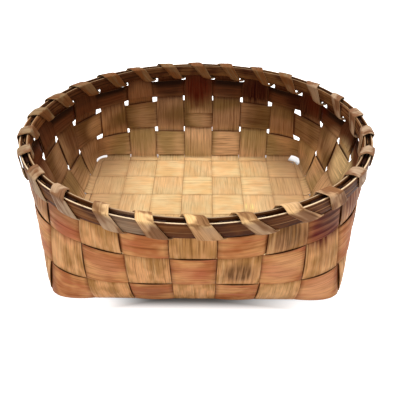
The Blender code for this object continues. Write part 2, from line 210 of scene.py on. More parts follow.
# How far some turns of the lashing lie along the rim from their usual place, above and below
LASH_SHIFTS = {2: (0.09, 0.09), 1: (0.0, 0.0), 0: (0.02, 0.02), 25: (-0.02, 0.14), 24: (-0.06, 0.20)}

# Stations of the meshes, in shares
CROSS_SHARES = (-1, -0.8, -0.5, -0.18, 0.18, 0.5, 0.8, 1)
GAP_SHARES = (0.25, 0.5, 0.75)
CORNER_SHARES = (-1, -0.6, -0.2, 0.2, 0.6, 1)
COLUMN_SHARES = (-1, -0.7, -0.35, 0, 0.35, 0.7, 1)
TAIL_SHARES = (0.15, 0.4, 0.65, 0.85, 0.97, 1)
FOLD_STEPS = 8
LASH_STEPS = 5
SEAM_UPRIGHT = 8
ARC_SAMPLES = 900
PROBE_SHARE = 0.0005
OUTSIDE = 1.0
INSIDE = -1.0
INSIDE_FACING = 0.0


# Shared skin
def profile(run):
    """Distance out from the edge of the base and height, at a run along the skin."""
    if run <= FOLD_FLAT:
        return run, 0.0
    turn = min(run - FOLD_FLAT, FOLD_RADIUS * FOLD_TURN) / FOLD_RADIUS
    out = FOLD_FLAT + FOLD_RADIUS * math.sin(turn)
    rise = FOLD_RADIUS * (1 - math.cos(turn))
    if run > FOLD_END:
        bend = (run - FOLD_END) / WALL_RADIUS
        out += WALL_RADIUS * (math.sin(FOLD_TURN + bend) - math.sin(FOLD_TURN))
        rise += WALL_RADIUS * (math.cos(FOLD_TURN) - math.cos(FOLD_TURN + bend))
    return out, rise


def roundness(run):
    """One over the power of the outline: near zero is square, one half is an ellipse."""
    if run <= FOLD_END:
        return mix(BASE_ROUNDNESS_SHARE, FOOT_ROUNDNESS_SHARE, run / FOLD_END)
    share = 1 - (1 - min((run - FOLD_END) / WALL_LENGTH, 1.0)) ** ROUNDING_POWER
    return mix(FOOT_ROUNDNESS_SHARE, RIM_ROUNDNESS_SHARE, share)


OUTLINES = {}


def outline(run):
    """A quarter of the outline at this run, from mid front to mid right side."""
    key = round(run / STAKE_PITCH, 9)
    if key in OUTLINES:
        return OUTLINES[key]
    out, rise = profile(run)
    power = 1 / roundness(run)
    angle = np.linspace(0, math.pi / 2, ARC_SAMPLES)
    long_part = np.sin(angle) / (HALF_LENGTH + out)
    deep_part = np.cos(angle) / (HALF_DEPTH + out)
    largest = np.maximum(long_part, deep_part)
    total = (long_part / largest) ** power + (deep_part / largest) ** power
    reach = 1 / (largest * total ** (1 / power))
    x = reach * np.sin(angle)
    y = -reach * np.cos(angle)
    length = np.concatenate(([0.0], np.cumsum(np.hypot(np.diff(x), np.diff(y)))))
    OUTLINES[key] = (x, y, length, rise + SKIN_HEIGHT)
    return OUTLINES[key]


def wall_share(run):
    """How far up the wall a run lies."""
    return min(max(run, 0.0) / HOOP_HIGH, 1.0)


def pitch_at(run):
    """Spacing of the uprights along the outline, away from the corners."""
    quarter_length = outline(run)[2][-1]
    return mix(STAKE_PITCH, quarter_length / QUARTER, wall_share(run))


def quarter_point(place, run):
    """Point of the first quarter; place counts uprights from the middle of the front."""
    x, y, length, z = outline(run)
    pitch = pitch_at(run)
    spare = length[-1] - QUARTER * pitch
    ramp = (place - CORNER_MID + CORNER_BAND_SHARE) / (2 * CORNER_BAND_SHARE)
    along = place * pitch + spare * min(max(ramp, 0.0), 1.0)
    return float(np.interp(along, length, x)), float(np.interp(along, length, y)), z


def skin_point(place, run):
    """Point of the shared skin at any place round the basket."""
    turn = place % STAKES
    half = STAKES / 2
    aside = min(turn, STAKES - turn)
    x, y, z = quarter_point(min(aside, half - aside), run)
    return Vector((x if turn <= half else -x, y if aside <= QUARTER else -y, z))


def skin_side(place, run):
    """Unit direction round the basket, towards the next upright."""
    step = skin_point(place + PROBE_SHARE, run) - skin_point(place - PROBE_SHARE, run)
    return step.normalized()


def skin_up(place, run):
    """Unit direction up the skin."""
    step = PROBE_SHARE * STAKE_PITCH
    return (skin_point(place, run + step) - skin_point(place, run - step)).normalized()


def skin_normal(place, run):
    """Unit normal of the skin, pointing away from the inside of the basket."""
    if run <= FOLD_FLAT:
        return Vector((0, 0, -1))
    return skin_side(place, run).cross(skin_up(place, run)).normalized()


def half_share(run, upright, side):
    """Half an upright, from its middle to the edge on one side, in shares of the spacing."""
    gap = stake_gap(run) * gap_width(gap_beside(upright, side))
    notch = corner_notch(upright, side, run) + rim_notch(upright, run)
    return (1 - gap / pitch_at(run)) / 2 - notch / pitch_at(run)


def gap_beside(upright, side):
    """The gap on one side of an upright, named by the upright before it."""
    return (upright if side > 0 else upright - 1) % STAKES


def corner_notch(upright, side, run):
    """How far an upright draws back from a corner where it bends up."""
    if gap_beside(upright, side) not in CORNER_NOTCHES:
        return 0.0
    depth, centre, reach = CORNER_NOTCHES[gap_beside(upright, side)]
    return depth * math.exp(-((run - centre) / reach) ** 2)


def rim_notch(upright, run):
    """How far each edge of an upright draws in where it passes below the hoops."""
    return RIM_NOTCH * openness(upright) * math.exp(-((run - SLIT_MIDDLE) / RIM_SLIT) ** 2)


def stake_gap(run):
    """Space between two uprights where the weave is open."""
    return mix(BASE_STAKE_GAP, RIM_STAKE_GAP, wall_share(run))


def openness(place):
    """Share of its usual size that a gap in the weave has: the front is packed tight."""
    away = min(place % STAKES, -place % STAKES)
    share = min(max(away / FRONT_UPRIGHTS - 1, 0.0), 1.0)
    return mix(FRONT_OPEN_SHARE, 1.0, smooth(share))


def gap_width(gap):
    """Share of its usual width that a gap has; it is named by the upright before it."""
    if gap in GAP_WIDTHS:
        return GAP_WIDTHS[gap]
    return openness(gap + MID_SPACE)


def row_edges(row, place):
    """Lowest and highest run of a weaver at a place round the basket."""
    low, high = ROWS[row]
    top_row = len(ROWS) - 1
    closed = (1 - openness(place)) / 2
    gap_below = low - ROWS[row - 1][1] if 0 < row < top_row else 0.0
    gap_above = ROWS[row + 1][0] - high if row < top_row else 0.0
    away = (place % STAKES - OPEN_CORNER) / OPEN_CORNER_WIDTH
    opening = OPEN_CORNER_EDGE * math.exp(-away * away)
    if row == 0:
        high -= opening
    if row == 1:
        low += opening / 2
    return low - gap_below * closed, high + gap_above * closed


# Over and under
def stake_side(place, row):
    """Whether an upright passes outside or inside a weaver."""
    return OUTSIDE if (place + row) % 2 == 1 else INSIDE


def base_side(cross_index, long_index):
    """Whether a cross stake lies under or on top of a long stake in the base."""
    return INSIDE if (cross_index + long_index + LONG_STAKES) % 2 == 0 else OUTSIDE


def is_corner(place):
    """True for the last upright before a corner."""
    half = STAKES // 2
    return place % half in (CORNER_STAKE, half - CORNER_STAKE - 1)


# Small helpers
def smooth(share):
    """Ease from zero to one."""
    return share * share * (3 - 2 * share)


def mix(first, last, share):
    """Value part of the way from one number to another."""
    return first + (last - first) * share


def waver(along, seed):
    """Slow unevenness along a splint, between minus one and one."""
    return noise.noise(Vector((along / WOBBLE_LENGTH, seed, MID_SPACE)))


def chance(number, seed):
    """Uneven value for one of a row of like things, between minus one and one."""
    return noise.cell(Vector((number + MID_SPACE, seed + MID_SPACE, MID_SPACE)))


# Ribbons
class Ribbon:
    """Rings of one splint, with the marks that its material reads."""

    def __init__(self, seed):
        self.seed = seed
        self.rings = []
        self.grain = []
        self.marks = []

    def uneven(self, along, share):
        """How uneven an edge of the splint is, and nothing between its edges."""
        return waver(along, self.seed + share) if abs(share) == 1 else 0.0

    def add(self, centres, normals, half_width, half_thick, along, covers, outer_facing=OUTSIDE):
        """Add a ring: the outer row, one edge, the inner row and the other edge.

        Covers says how near the outer and the inner face are to a covering splint.
        """
        outer = []
        inner = []
        for centre, normal, share in zip(centres, normals, COLUMN_SHARES):
            thick = half_thick * (EDGE_THIN_SHARE if abs(share) == 1 else 1)
            outer.append(centre + normal * thick)
            inner.append(centre - normal * thick)
        lip = half_thick * EDGE_LIP_SHARE
        first = centres[0] + (centres[0] - centres[1]).normalized() * lip
        last = centres[-1] + (centres[-1] - centres[-2]).normalized() * lip
        ring = outer + [last] + inner[::-1] + [first]
        across = [*COLUMN_SHARES, 1, *COLUMN_SHARES[::-1], -1]
        count = len(COLUMN_SHARES)
        for number, (point, share) in enumerate(zip(ring, across)):
            on_lip = number in (count, 2 * count + 1)
            facing = outer_facing * (MID_SPACE if on_lip else float(number < count))
            cover = max(covers) if on_lip else covers[number > count]
            nearness = EDGE_MARK if on_lip else abs(share)
            self.grain.append((along, share * half_width, self.seed))
            self.marks.append((facing, nearness, cover, point.z / RIM_TOP))
        self.rings.append(ring)


def ribbon_mesh(name, ribbon):
    """Closed mesh of a ribbon, smooth but for its cut edges."""
    size = len(ribbon.rings[0])
    points = [point for ring in ribbon.rings for point in ring]
    faces = []
    for start in range(0, len(points) - size, size):
        for side in range(size):
            beside = (side + 1) % size
            faces.append((start + side, start + beside, start + size + beside, start + size + side))
    faces += end_faces(0, size)
    faces += [face[::-1] for face in end_faces(len(points) - size, size)]
    data = bpy.data.meshes.new(name)
    data.from_pydata(points, [], faces)
    face_outwards(data)
    data.shade_smooth()
    data.set_sharp_from_angle(angle=math.radians(SHARP_DEG))
    add_marks(data, ribbon)
    return data


def end_faces(start, size):
    """Faces that close the end ring of a ribbon."""
    last = size - 2
    count = last // 2
    faces = [(start, start + last, start + size - 1)]
    faces.append((start + count - 1, start + count, start + count + 1))
    for step in range(count - 1):
        faces.append((start + step, start + step + 1, start + last - step - 1, start + last - step))
    return faces


def face_outwards(data):
    """Turn all faces of a closed mesh outwards."""
    mesh = bmesh.new()
    mesh.from_mesh(data)
    bmesh.ops.recalc_face_normals(mesh, faces=mesh.faces)
    if mesh.calc_volume(signed=True) < 0:
        bmesh.ops.reverse_faces(mesh, faces=mesh.faces)
    mesh.to_mesh(data)
    mesh.free()


def add_marks(data, ribbon):
    """Store the marks of a ribbon for its material."""
    grain = data.attributes.new("grain", "FLOAT_VECTOR", "POINT")
    grain.data.foreach_set("vector", np.array(ribbon.grain, np.float32).ravel())
    marks = data.attributes.new("marks", "FLOAT_COLOR", "POINT")
    marks.data.foreach_set("color", np.array(ribbon.marks, np.float32).ravel())


def add_object(name, data):
    """New object in the scene."""
    made = bpy.data.objects.new(name, data)
    bpy.context.scene.collection.objects.link(made)
    return made


def place_piece(name, ribbon, node, material):
    """Put a finished ribbon in the scene instead of its CAD node."""
    data = ribbon_mesh(name, ribbon)
    data.materials.append(material)
    piece = add_object(name, data)
    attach(piece, "root")
    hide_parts(node)


# Stakes
def wall_crossings(place, half_span):
    """Where a stake meets the weavers of one wall, upwards: start, end, side and bow."""
    found = []
    for row, bow in enumerate(ROW_BOWS):
        low, high = row_edges(row, place)
        found.append((half_span + low, half_span + high, stake_side(place, row), bow))
    return found


def stake_crossings(first_place, last_place, half_span, base_sides):
    """Where a stake meets other splints, from end to end: start, end, side and bow."""
    first_wall = wall_crossings(first_place, half_span)[::-1]
    found = [(-end, -start, side, bow) for start, end, side, bow in first_wall]
    for number, side in enumerate(base_sides):
        centre = (number + MID_SPACE) * STAKE_PITCH - half_span
        bow = BASE_BOW if side == INSIDE else 0.0
        found.append((centre - BASE_HALF_WIDTH, centre + BASE_HALF_WIDTH, side, bow))
    return found + wall_crossings(last_place, half_span)


def stake_spots(crossings):
    """Stations along a stake."""
    spots = []
    for number, (start, end, _, _) in enumerate(crossings):
        middle = (start + end) / 2
        spots += [middle + share * (end - middle) for share in CROSS_SHARES]
        if number + 1 < len(crossings):
            after = crossings[number + 1][0]
            spots += [mix(end, after, share) for share in GAP_SHARES]
    return spots


def wave(spot, crossings):
    """Distance out from the skin of a splint that bows over or under each crossing."""
    before_end, before_side = spot, crossings[0][2]
    for start, end, side, bow in crossings:
        if spot < start:
            share = smooth((spot - before_end) / (start - before_end))
            return HALF_STEP * mix(before_side, side, share)
        if spot <= end:
            share = (2 * spot - start - end) / (end - start)
            return side * (HALF_STEP + bow * (1 - share * share))
        before_end, before_side = end, side
    return HALF_STEP * before_side


def cover(spot, crossings, side):
    """One where the splint passes on this side of another, fading to zero beyond it."""
    met = [(start, end) for start, end, found, _ in crossings if found == side]
    gap = min(max(start - spot, spot - end, 0.0) for start, end in met)
    return math.exp(-gap / SEAM_SHADE_REACH)


def upright_ring(ribbon, place, flip, run, offset, along, covers, turn=0.0):
    """Add one ring of a stake in the wall; turn tips it over the top edge."""
    half_width = pitch_at(run) / 2
    wobble = STAKE_WOBBLE_SHARE * stake_gap(run) * openness(place)
    centres = []
    normals = []
    for share in COLUMN_SHARES:
        spot = place + flip * share * half_share(run, place, flip * share)
        normal = skin_normal(spot, run)
        spread = flip * share * ribbon.uneven(along, share) * wobble
        centres.append(skin_point(spot, run) + normal * offset + skin_side(spot, run) * spread)
        normals.append(normal * math.cos(turn) + skin_up(spot, run) * math.sin(turn))
    seen = INSIDE_FACING if turn else OUTSIDE
    ribbon.add(centres, normals, half_width, HALF_SPLINT, along, covers, seen)


def base_ring(ribbon, place, flip, run, across, along, offset, covers, turned):
    """Add one ring of a stake in the base; a turned stake runs along the length."""
    centres = []
    for share in COLUMN_SHARES:
        wobble = ribbon.uneven(along, share) * STAKE_WOBBLE_SHARE * BASE_STAKE_GAP
        width = BASE_HALF_WIDTH + wobble
        side = across + share * (width - corner_notch(place, flip * share, run))
        x, y = (along, side) if turned else (side, along)
        centres.append(Vector((x, y, SKIN_HEIGHT - offset)))
    normals = [Vector((0, 0, -1))] * len(centres)
    ribbon.add(centres, normals, BASE_HALF_WIDTH, HALF_SPLINT, along, covers)


def tail_rings(place, start):
    """Run, offset, turn and distance along of the end folded over the rim and down inside."""
    rings = []
    for step in range(1, FOLD_STEPS + 1):
        turn = math.pi * step / FOLD_STEPS
        run = FILLER_HIGH + 2 * HALF_STEP * math.sin(turn)
        offset = 2 * HALF_STEP * math.cos(turn) - HALF_STEP
        rings.append((run, offset, turn, start + 2 * HALF_STEP * turn))
    after = rings[-1][3]
    rings.append((HOOP_LOW, TAIL_OFFSET, math.pi, after + FILLER_HIGH - HOOP_LOW))
    end = LONG_TAIL_END if place == BACK_MIDDLE else TAIL_END
    for share in TAIL_SHARES:
        run = mix(HOOP_LOW, end, share)
        offset = TAIL_OFFSET - TAIL_LIFT * smooth(min(share / TAIL_SHARES[1], 1.0))
        rings.append((run, offset, math.pi, after + FILLER_HIGH - run))
    return rings


def tail_shade_covers(run):
    """Cover marks of the two faces of a folded end, read as painted shade: the first face only between
    the hoops, the other all along.
    """
    return (RIM_SHADE_SHARE if run > HOOP_LOW else 0.0, 1.0)


def folded_end(ribbon, place, flip, start, way):
    """Add the end of a stake that is folded over the filler, if it stands outside it."""
    if stake_side(place, len(ROWS) - 1) == INSIDE:
        return
    for run, offset, turn, along in tail_rings(place, start)[::way]:
        upright_ring(ribbon, place, flip, run, offset, way * along, tail_shade_covers(run), turn)


def stake(name, places, first_flip, half_span, across, base_sides, turned, material):
    """One splint from rim to rim through the base, its outside ends folded down inside."""
    ribbon = Ribbon(STAKE_SEED + STAKE_SEED_STEP * places[0])
    crossings = stake_crossings(*places, half_span, base_sides)
    folded_end(ribbon, places[0], first_flip, half_span + FILLER_HIGH, -1)
    for spot in stake_spots(crossings):
        offset = wave(spot, crossings)
        covers = (cover(spot, crossings, INSIDE), cover(spot, crossings, OUTSIDE))
        place, flip = (places[0], first_flip) if spot < 0 else (places[1], -first_flip)
        run = abs(spot) - half_span
        if run <= 0:
            base_ring(ribbon, place, flip, run, across, spot, offset, covers, turned)
        else:
            upright_ring(ribbon, place, flip, run, offset, spot, covers)
    folded_end(ribbon, places[1], -first_flip, half_span + FILLER_HIGH, 1)
    place_piece(name + "_splint", ribbon, name, material)


def cross_stake(number, material):
    """Stake that runs from front to back; number counts from the left."""
    index = number - CORNER_STAKE
    sides = [base_side(index, row + 1) for row in range(LONG_STAKES)]
    places = (index % STAKES, BACK_MIDDLE - index)
    name = "cross_stake_%d" % (number + 1)
    stake(name, places, 1, HALF_DEPTH, index * STAKE_PITCH, sides, False, material)


def long_stake(number, material):
    """Stake that runs from left to right; number counts from the front."""
    across = (number - (LONG_STAKES - 1) / 2) * STAKE_PITCH
    sides = [-base_side(column - CORNER_STAKE, number + 1) for column in range(CROSS_STAKES)]
    right = CORNER_STAKE + 1 + number
    name = "long_stake_%d" % (number + 1)
    stake(name, (STAKES - right, right), -1, HALF_LENGTH, across, sides, True, material)


# Weavers and hoops
def loop_places(run):
    """Places round the basket at one run, equally many at every run."""
    places = []
    for upright in range(SEAM_UPRIGHT, SEAM_UPRIGHT + STAKES):
        half = half_share(run, upright, 1)
        after = upright + 1 - half_share(run, upright + 1, -1)
        places += [upright + share * half_share(run, upright, share) for share in CROSS_SHARES]
        if is_corner(upright):
            middle = upright + MID_SPACE
            places += [middle + share * CORNER_BAND_SHARE for share in CORNER_SHARES]
        else:
            places += [mix(upright + half, after, share) for share in GAP_SHARES]
    places.append(SEAM_UPRIGHT + STAKES - half_share(run, SEAM_UPRIGHT, -1))
    return places


def weaver_wave(place, run, row):
    """Distance out from the skin of a weaver."""
    nearest = round(place)
    half = half_share(run, nearest, place - nearest)
    local = abs(place - nearest)
    side = -stake_side(nearest, row)
    if local <= half:
        return side * (HALF_STEP + ROW_BOWS[row] * (1 - (local / half) ** 2))
    return side * HALF_STEP * (1 - 2 * smooth((local - half) / (1 - 2 * half)))


def weaver_covers(place, run, row):
    """How near the outer and inner face of a weaver are to an upright that covers them."""
    result = []
    for side in (OUTSIDE, INSIDE):
        nearest = min((abs(place - spot), spot) for spot in range(int(place) - 1, int(place) + 3)
                      if stake_side(spot, row) == side)
        gap = max(nearest[0] - half_share(run, nearest[1], place - nearest[1]), 0.0) * pitch_at(run)
        result.append(math.exp(-gap / SEAM_SHADE_REACH))
    return tuple(result)


def band(ribbon, low, high, half_thick, offset_at, covers_at, spread_at):
    """Fill a ribbon that runs round the basket between two runs.

    Spread says how far the lower and the upper edge lie beyond these runs.
    """
    middle = (low + high) / 2
    half = (high - low) / 2
    runs = [middle + share * half for share in COLUMN_SHARES]
    columns = [loop_places(run) for run in runs]
    for places in zip(*columns):
        along = places[len(places) // 2] * pitch_at(middle)
        below, above = spread_at(places[len(places) // 2], along)
        centres = []
        normals = []
        for place, run, share in zip(places, runs, COLUMN_SHARES):
            normal = skin_normal(place, run)
            spread = mix(-below, above, (share + 1) / 2)
            centre = skin_point(place, run) + normal * offset_at(place, run)
            centre += skin_up(place, run) * spread
            centre.z = max(centre.z, HALF_SPLINT)
            centres.append(centre)
            normals.append(normal)
        covers = covers_at(places[len(places) // 2], middle)
        ribbon.add(centres, normals, half, half_thick, along, covers)


def weaver(node, row, material):
    """Splint woven over and under every upright."""
    ribbon = Ribbon(WEAVER_SEED + WEAVER_SEED_STEP * row)
    low, high = ROWS[row]

    def spread_at(place, along):
        near, far = row_edges(row, place)
        wobble = WEAVER_WOBBLE * openness(place)
        below = low - near + wobble * waver(along, ribbon.seed)
        return below, far - high + wobble * waver(along, ribbon.seed + 1)

    band(ribbon, low, high, HALF_SPLINT,
         lambda place, run: weaver_wave(place, run, row),
         lambda place, run: weaver_covers(place, run, row),
         spread_at)
    place_piece(node + "_splint", ribbon, node, material)


def hoop(node, seed, low_out, material):
    """Bent wood hoop at one distance from the skin."""
    ribbon = Ribbon(seed)
    middle_out = low_out + HOOP_THICKNESS / 2
    lift = INNER_HOOP_LIFT if low_out < 0 else 0.0

    def spread_at(place, along):
        return HOOP_WOBBLE * waver(along, seed) - lift, HOOP_WOBBLE * waver(along, seed + 1)

    band(ribbon, HOOP_LOW, HOOP_HIGH, HOOP_THICKNESS / 2,
         lambda place, run: middle_out, lambda place, run: (0.0, 0.0), spread_at)
    place_piece(node + "_wood", ribbon, node, material)


# Lashing, with the columns of its stations that are read by name
SPOT, RUN, HALF, FACING, LIFT = 0, 2, 3, 4, 5
TOP_FACING_DEG = 90


def lash_stations():
    """One turn round the rim: place share, corner out and run, half width, facing, edge lift."""
    wide = LASH_TOP_WIDTH / 2
    slim = LASH_INSIDE_WIDTH / 2
    narrow = RIM_STAKE_GAP / 2 - LASH_SLIT_CLEARANCE
    low = LASH_LOW_WIDTH / 2
    return (
        (0.50, INNER_HOOP_OUT, HOOP_LOW, narrow, -90, 0.0),
        (0.50, OUTER_HOOP_IN, HOOP_LOW, narrow, -90, 0.0),
        (0.40, OUTER_HOOP_OUT, HOOP_LOW, low, -90, 0.0),
        (0.32, OUTER_HOOP_OUT, HOOP_LOW, low, 0, 0.0),
        (0.13, OUTER_HOOP_OUT, HOOP_HIGH, wide, 0, 0.15),
        (0.09, OUTER_HOOP_OUT, HOOP_HIGH, wide, TOP_FACING_DEG, 0.9),
        (0.00, INNER_HOOP_IN, HOOP_HIGH, wide, TOP_FACING_DEG, 0.5),
        (-0.05, INNER_HOOP_IN, HOOP_HIGH, wide, 180, 0.0),
        (-0.32, INNER_HOOP_IN, HOOP_LOW, slim, 180, 0.0),
        (-0.44, INNER_HOOP_IN, HOOP_LOW, narrow, 270, 0.0),
        (-0.50, INNER_HOOP_OUT, HOOP_LOW, narrow, 270, 0.0),
    )


def lash_ring(ribbon, turn, station, bulge, along):
    """Add one ring of the lashing; the edge nearer the front is lifted off the hoops."""
    lifted = 1 if 0 < turn < BACK_MIDDLE else -1
    share, corner_out, corner_run, half_width, facing_deg, lift = station
    angle = math.radians(facing_deg)
    centres = []
    normals = []
    for side in COLUMN_SHARES:
        reach = LASH_GAP + LASH_THICKNESS / 2 + bulge
        reach += LASH_CUP * (1 - side * side) + LASH_LIFT * lift * max(lifted * side, 0.0)
        out = corner_out + reach * math.cos(angle)
        run = corner_run + reach * math.sin(angle)
        spot = share - turn + side * half_width / pitch_at(HOOP_HIGH)
        low = skin_point(spot, HOOP_LOW) + skin_normal(spot, HOOP_LOW) * out
        high = skin_point(spot, HOOP_HIGH) + skin_normal(spot, HOOP_HIGH) * out
        up = (high - low).normalized()
        centres.append(low.lerp(high, (run - HOOP_LOW) / HOOP_HEIGHT))
        normals.append(skin_normal(spot, HOOP_HIGH) * math.cos(angle) + up * math.sin(angle))
    ribbon.add(centres, normals, half_width, LASH_THICKNESS / 2, along, (0.0, 0.0))


def lash_hump(first, last, arch):
    """How far the lashing stands off the hoops between two stations: most over the top."""
    if first[FACING] != last[FACING]:
        return 0.0
    if first[FACING] == TOP_FACING_DEG:
        return arch
    return LASH_PUFF if first[HALF] == last[HALF] else 0.0


def rim_lashing(material):
    """Flat splint wound round the rim, through the space after every upright."""
    ribbon = Ribbon(LASH_SEED)
    stations = lash_stations()
    along = 0.0
    for turn in range(STAKES):
        sideways = math.sin(math.pi * turn / QUARTER / 2) ** 2
        width = 1 + LASH_WIDTH_SPREAD * chance(turn, WIDTH_DRAW) + LASH_SIDE_SPREAD * sideways
        tight = 1 - LASH_BACK_TIGHT_SHARE * math.sin(math.pi * turn / STAKES) ** 2
        arch = LASH_ARCH * tight * (1 + chance(turn, ARCH_DRAW)) / 2
        usual = LASH_PLACE_SPREAD * chance(turn, PLACE_DRAW)
        shifts = LASH_SHIFTS.get(turn, (usual, usual))
        loose = tight * (2 + chance(turn, LIFT_DRAW)) / 3
        for first, last in zip(stations, stations[1:]):
            outside = first[FACING] < TOP_FACING_DEG
            for step in range(LASH_STEPS):
                share = step / LASH_STEPS
                station = [mix(a, b, share) for a, b in zip(first, last)]
                bulge = math.sin(math.pi * share) * lash_hump(first, last, arch)
                station[LIFT] *= loose
                if first[HALF] > RIM_STAKE_GAP / 2:
                    below = (HOOP_HIGH - station[RUN]) / HOOP_HEIGHT if outside else 0.0
                    station[SPOT] += mix(*shifts, below)
                    station[HALF] *= width
                lash_ring(ribbon, turn, station, bulge, along)
                along += HOOP_HEIGHT / LASH_STEPS
    place_piece("rim_lashing_splint", ribbon, "rim_lashing", material)


# Materials
TOP_LEVEL = 255
CURVE_START = 0.04045
CURVE_SLOPE = 12.92
CURVE_SHIFT = 0.055
CURVE_POWER = 2.4


def linear(level):
    """Linear value of one level of the usual colour curve."""
    if level <= CURVE_START:
        return level / CURVE_SLOPE
    return ((level + CURVE_SHIFT) / (1 + CURVE_SHIFT)) ** CURVE_POWER


def colour(*levels):
    """Linear colour from the usual levels of 0 to 255."""
    return [linear(level / TOP_LEVEL) for level in levels] + [1.0]


WOOD_IOR = 1.42
WOOD_SHINE = 0.09
GOLDEN = colour(255, 208, 144)
PALE_GOLD = colour(255, 224, 166)
FLOOR_BROWN = colour(197, 154, 111)
ROW_BROWN = colour(218, 174, 128)
ROW_OLIVE = colour(176, 146, 96)
MID_BROWN = colour(168, 128, 92)
MID_OLIVE = colour(126, 96, 56)
DEEP_BROWN = colour(96, 54, 30)
TAIL_BROWN = colour(150, 104, 68)
BLACK_BROWN = colour(30, 12, 6)
TAN = colour(224, 162, 106)
OLIVE_TAN = colour(174, 122, 66)
DARK_TAN = colour(112, 72, 34)
ROSY_TAN = colour(230, 165, 118)
PALE_TAN = colour(240, 192, 136)
DARK_FIBRE = (0.40, 0.30, 0.22, 1.0)
PALE_FIBRE = (1.30, 1.28, 1.24, 1.0)
CUT_EDGE = colour(236, 190, 136)
ORANGE = colour(213, 151, 93)
BRICK = colour(175, 102, 54)
ROSE = colour(192, 104, 70)
WINE = colour(98, 22, 14)
DARK_WINE = colour(46, 2, 0)
RED_BROWN = colour(78, 18, 0)
UMBER = colour(74, 38, 18)
HOOP_BROWN = colour(116, 68, 32)
HOOP_EDGE = colour(250, 222, 182)
LASH_TAN = colour(202, 152, 104)
LASH_BROWN = colour(118, 80, 45)
LASH_OLIVE = colour(140, 114, 80)
LASH_GREY = colour(180, 152, 124)
# Painted shade with some grime, in the seams where a splint passes under another
SHADE_AND_GRIME = colour(88, 38, 12)
WORN_YELLOW = colour(255, 236, 150)

# Noises of the grain: scale along it, scale across it and detail
NOISES = {
    "fibres": (38.0, 1150.0, 3.0),
    "broad": (18.0, 330.0, 3.0),
    "blotch": (36.0, 60.0, 2.0),
    "patches": (21.0, 9.0, 1.5),
    "lines": (22.0, 520.0, 3.0),
    "faded": (26.0, 240.0, 3.0),
    "grooves": (3.0, 420.0, 1.0),
    "worn": (60.0, 1.0, 3.0),
    "strands": (9.0, 900.0, 1.0),
    "greys": (14.0, 40.0, 1.5),
}
NOISE_ROUGHNESS = 0.55
MIX_FIRST, MIX_LAST, MIX_RESULT = 6, 7, 2

# Washes of colour: the colour, its strength and the spans where it grows from nothing to full;
# a span names what it reads, its first and last value and, if not zero to one, its shares there
# Floor of the basket: golden blotches, a tone per splint, and darker towards the left and right walls,
# partly the tone of those splints and partly painted shade from the walls
FLOOR_WASHES = (
    (GOLDEN, 1.0, ("blotch", 0.36, 0.62)),
    (FLOOR_BROWN, 0.45, ("tone", 0.0, 1.0)),
    (FLOOR_BROWN, 0.8, ("width", -0.05, -0.12)),
    (FLOOR_BROWN, 0.8, ("width", 0.05, 0.12)),
)
# Inside walls: darker towards the rim, partly aged wood and partly painted shade
WALL_WASHES = (
    (DEEP_BROWN, 1.0, ("rise", 0.56, 0.74)),
    (DEEP_BROWN, 0.5, ("width", -0.11, -0.15), ("rise", 0.02, 0.20)),
    (DARK_FIBRE, 0.36, ("lines", 0.50, 0.62), ("rise", 0.005, 0.05)),
    (PALE_FIBRE, 0.36, ("lines", 0.48, 0.38), ("rise", 0.005, 0.05)),
)
# Painted shade at the foot of the outside walls, where they meet the floor
SOLE_SHADE_WASH = (UMBER, 0.75, ("rise", 0.05, 0.002))
OUTER_PATCH_SPAN = ("blotch", 0.36, 0.64)
FADED_SPAN = ("faded", 0.50, 0.68)
STAKE_WASHES = ((OLIVE_TAN, 1.0, OUTER_PATCH_SPAN), SOLE_SHADE_WASH, (PALE_TAN, 0.40, FADED_SPAN))
WEAVER_WASHES = ((BRICK, 1.0, OUTER_PATCH_SPAN), SOLE_SHADE_WASH, (ROSE, 0.50, FADED_SPAN))
HOOP_WASHES = (
    (LASH_BROWN, 1.0, ("depth", -0.02, 0.08)),
    (UMBER, 0.8, ("width", -0.03, -0.10), ("depth", 0.0, 0.06)),
    (UMBER, 1.0, ("blotch", 0.35, 0.65)),
    (DARK_FIBRE, 0.85, ("grooves", 0.48, 0.36)),
    (LASH_TAN, 1.0, ("width", 0.02, 0.12, 0.16, 0.6), ("depth", 0.10, 0.0), ("grooves", 0.54, 0.62)),
)
FILLER_WASHES = (
    (BLACK_BROWN, 1.0, ("blotch", 0.35, 0.65)),
    (LASH_TAN, 1.0, ("strands", 0.56, 0.62), ("width", -0.02, 0.12, 0.2, 0.9)),
)
LASH_WASHES = (
    (LASH_BROWN, 1.0, ("depth", -0.06, 0.06)),
    (LASH_OLIVE, 0.8, ("broad", 0.50, 0.60), ("depth", 0.0, 0.08)),
    (LASH_GREY, 0.85, ("width", 0.10, 0.15)),
    (LASH_GREY, 0.75, ("width", -0.02, -0.07), ("depth", 0.02, -0.04)),
    (LASH_OLIVE, 0.85, ("width", -0.11, -0.16)),
    (LASH_GREY, 0.6, ("greys", 0.42, 0.60), ("depth", 0.06, -0.06, 0.1, 1.0)),
    # Painted highlight on the tops of the wraps in front
    (GOLDEN, 0.70, ("rise", 0.965, 1.0), ("depth", -0.115, -0.150)),
    (HOOP_BROWN, 0.80, ("blotch", 0.44, 0.58)),
)
EDGE_WASHES = (
    (DARK_FIBRE, 0.16, ("edge", 0.86, 1.0)),
    (CUT_EDGE, 0.40, ("edge", 1.02, EDGE_MARK)),
)
FOOT_SPAN = ("rise", 0.005, 0.05)
ROW_SPAN = ("rise", 0.24, 0.40)
# Painted shadow on the inside walls just below the inner hoop
RIM_SHADOW_SPAN = ("rise", 0.75, 0.815)
# Painted shadow: the seam shade turns black from just below the hoops upwards
HOOP_SHADOW_SPAN = ("rise", 0.86, 0.90)
